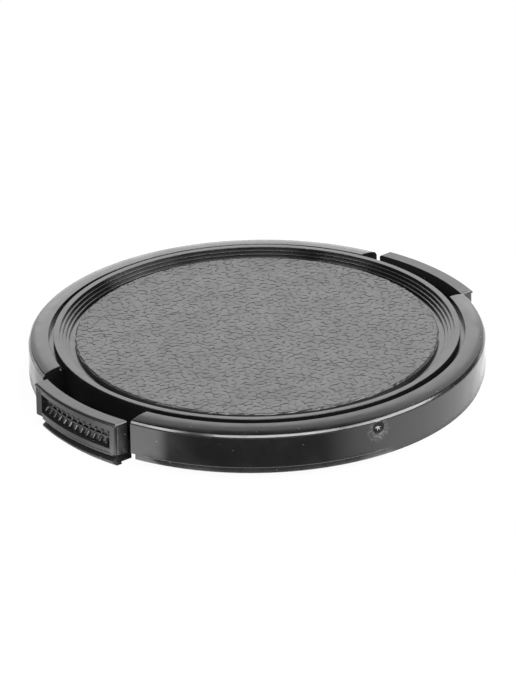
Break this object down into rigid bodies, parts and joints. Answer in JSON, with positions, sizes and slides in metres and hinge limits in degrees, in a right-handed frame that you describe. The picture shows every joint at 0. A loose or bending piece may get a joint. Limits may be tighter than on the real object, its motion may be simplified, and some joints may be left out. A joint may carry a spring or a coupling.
{
  "type": "camera lens cap",
  "caption": "Round clip-on camera lens cap with a domed rim, stepped bezel, leather-grain front disc and sprung side-pinch latches that grip a filter thread.",
  "frame": {"origin": "on the cap's axis, at the height of the claw tips on which the cap rests", "axes": "+Z out of the front face; the latches slide along X, with the right latch on the +X side"},
  "size_m": [0.0636, 0.0604, 0.0075],
  "materials": {
    "shell_plastic": "black moulded plastic, satin on top and polished on the rim's wall",
    "grain_disc": "black leather grain, matte",
    "back_plastic": "black moulded plastic, matte",
    "latch_plastic": "black moulded plastic, satin",
    "spring_steel": "bright spring wire"
  },
  "bodies": {
    "shell": {"cap_shell": "shell_plastic", "grain_disc": "grain_disc", "back_plate": "back_plastic", "spring_left": "spring_steel", "spring_right": "spring_steel"},
    "left_latch": {"latch_left": "latch_plastic"},
    "right_latch": {"latch_right": "latch_plastic"}
  },
  "joints": [
    {"name": "left_latch_slide", "type": "slide", "parent": "shell", "child": "left_latch", "axis": [1, 0, 0], "range_m": [0, 0.0028], "stiffness_N_per_m": 300, "springref_m": -0.003, "deforming": ["spring_left"]},
    {"name": "right_latch_slide", "type": "slide", "parent": "shell", "child": "right_latch", "axis": [-1, 0, 0], "range_m": [0, 0.0028], "stiffness_N_per_m": 300, "springref_m": -0.003, "deforming": ["spring_right"]}
  ]
}
